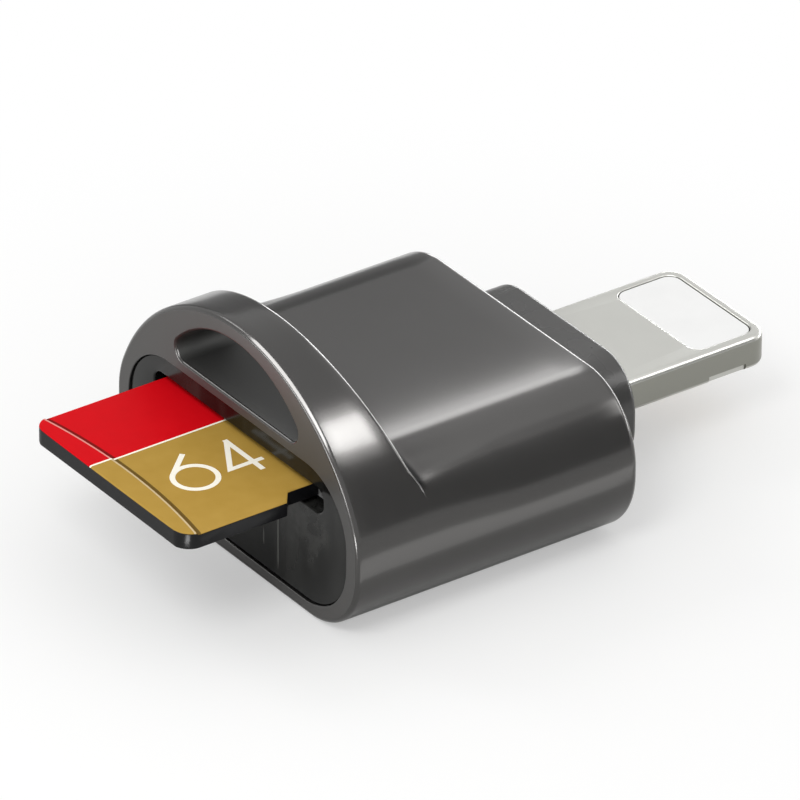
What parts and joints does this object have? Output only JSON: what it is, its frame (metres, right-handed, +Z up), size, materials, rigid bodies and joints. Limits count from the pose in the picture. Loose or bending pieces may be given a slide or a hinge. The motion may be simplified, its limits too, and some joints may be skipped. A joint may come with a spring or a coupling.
{
  "type": "memory card reader",
  "caption": "Pocket memory card reader: cast metal barrel with a key-ring arch, smoky slot insert with a card part way in, and a flat phone plug on a rear collar.",
  "frame": {"origin": "middle of the housing's flat underside", "axes": "+Z up from the underside, +Y towards the plug, the card end faces -Y"},
  "size_m": [0.0172, 0.0309, 0.011],
  "materials": {
    "gunmetal": "dark grey satin anodised cast alloy",
    "smoke_plastic": "smoky black polished plastic",
    "collar_plastic": "dark grey semi-gloss plastic",
    "plug_steel": "satin stainless steel",
    "white_plastic": "glossy white plastic",
    "gold_plate": "gold-plated contacts",
    "board_laminate": "green solder-masked laminate",
    "black_plastic": "black moulded plastic",
    "sheet_steel": "stamped sheet metal",
    "card_plastic": "black moulded plastic with printed colour fields",
    "chip_resin": "black moulding resin",
    "chip_ceramic": "tan ceramic"
  },
  "bodies": {
    "reader": {"housing": "gunmetal", "front_insert": "smoke_plastic", "rear_collar": "collar_plastic", "plug_shell": "plug_steel", "plug_core": "white_plastic", "plug_contacts": "gold_plate", "main_board": "board_laminate", "socket_base": "black_plastic", "socket_cover": "sheet_steel", "socket_contacts": "gold_plate", "controller_chip": "chip_resin", "interface_chip": "chip_resin", "power_regulator": "chip_resin", "crystal": "sheet_steel", "indicator_lamp": "white_plastic", "detect_switch": "black_plastic", "resistors": "chip_resin", "capacitors": "chip_ceramic"},
    "card": {"memory_card": "card_plastic", "card_contacts": "gold_plate"}
  },
  "joints": [
    {"name": "card_slide", "type": "slide", "parent": "reader", "child": "card", "axis": [0, 1, 0], "range_m": [-0.0075, 0.0028]}
  ]
}
